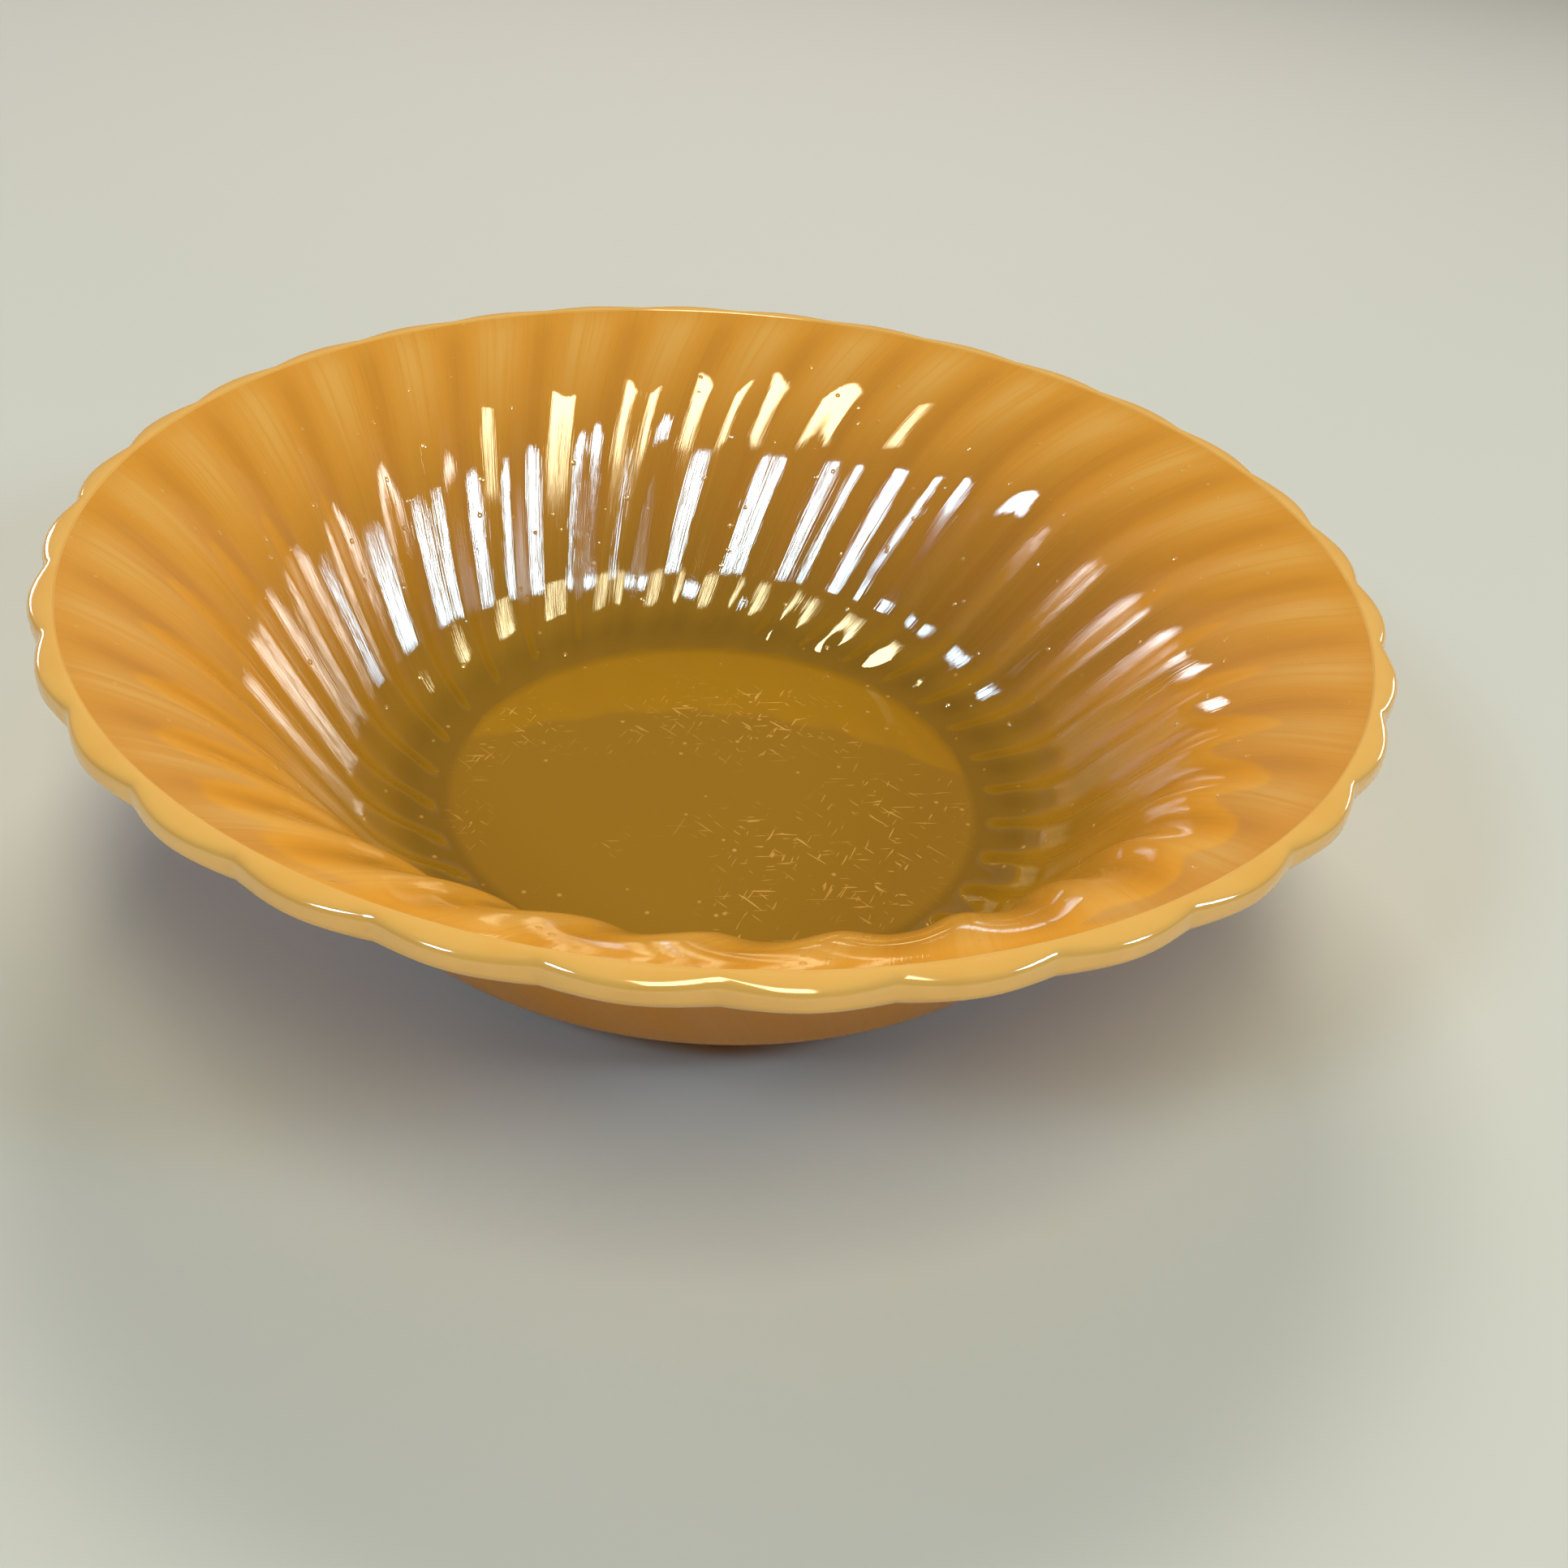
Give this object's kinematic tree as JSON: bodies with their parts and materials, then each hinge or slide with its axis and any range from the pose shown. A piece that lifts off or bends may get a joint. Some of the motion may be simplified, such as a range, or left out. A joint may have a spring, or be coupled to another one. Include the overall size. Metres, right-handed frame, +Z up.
{
  "type": "fluted glass serving bowl",
  "caption": "Round pressed-glass serving bowl with a scalloped rim, swirling flutes inside, a flat round well, a smooth heel and a low foot ring, in iridescent amber-orange lustre.",
  "frame": {"origin": "centre of the plane that the foot ring rests on", "axes": "+Z up along the bowl's axis, out of its mouth; +X lies close to one notch of the rim"},
  "size_m": [0.2156, 0.2156, 0.0583],
  "materials": {
    "lustre_glass": "opaque milk glass with a fired, glossy, faintly iridescent amber-orange lustre"
  },
  "bodies": {
    "root": {"bowl": "lustre_glass"}
  },
  "joints": []
}
